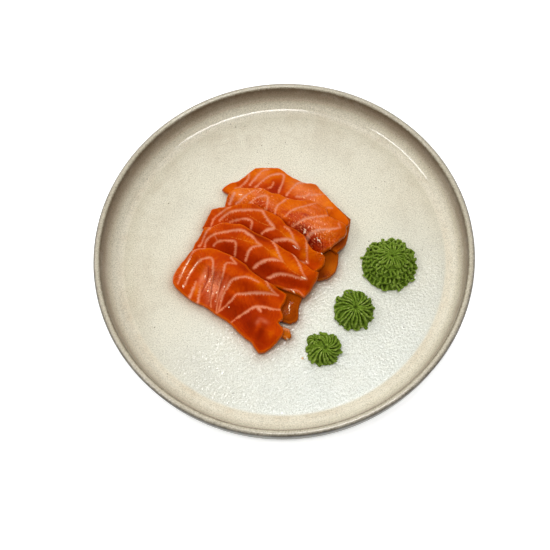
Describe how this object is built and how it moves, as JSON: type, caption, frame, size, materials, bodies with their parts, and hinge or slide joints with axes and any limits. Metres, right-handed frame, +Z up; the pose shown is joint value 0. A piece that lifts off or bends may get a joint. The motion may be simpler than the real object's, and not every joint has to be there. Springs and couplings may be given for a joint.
{
  "type": "sashimi plate",
  "caption": "Low-walled round stoneware plate holding an overlapping row of salmon sashimi slices and piped wasabi rosettes in a line beside it.",
  "frame": {"origin": "centre of the plate's base, on the surface that the foot ring stands on", "axes": "+Z up, along the plate's axis of turning. +Y points to the back of the plate, away from the diner, and +X to the side where the wasabi is"},
  "size_m": [0.22, 0.22, 0.0225],
  "materials": {
    "stoneware": "semi-gloss speckled cream glaze",
    "salmon": "wet raw salmon with pale fat lines",
    "lower_salmon": "wet raw salmon, in the shade of the row",
    "wasabi": "matte piped paste"
  },
  "bodies": {
    "root": {"plate": "stoneware", "slice_1": "salmon", "slice_2": "salmon", "slice_3": "salmon", "slice_4": "salmon", "slice_5": "salmon", "lower_slice_front": "lower_salmon", "lower_slice_middle": "lower_salmon", "lower_slice_back": "lower_salmon", "lower_slice_corner": "lower_salmon", "wasabi_large": "wasabi", "wasabi_medium": "wasabi", "wasabi_small": "wasabi"}
  },
  "joints": []
}
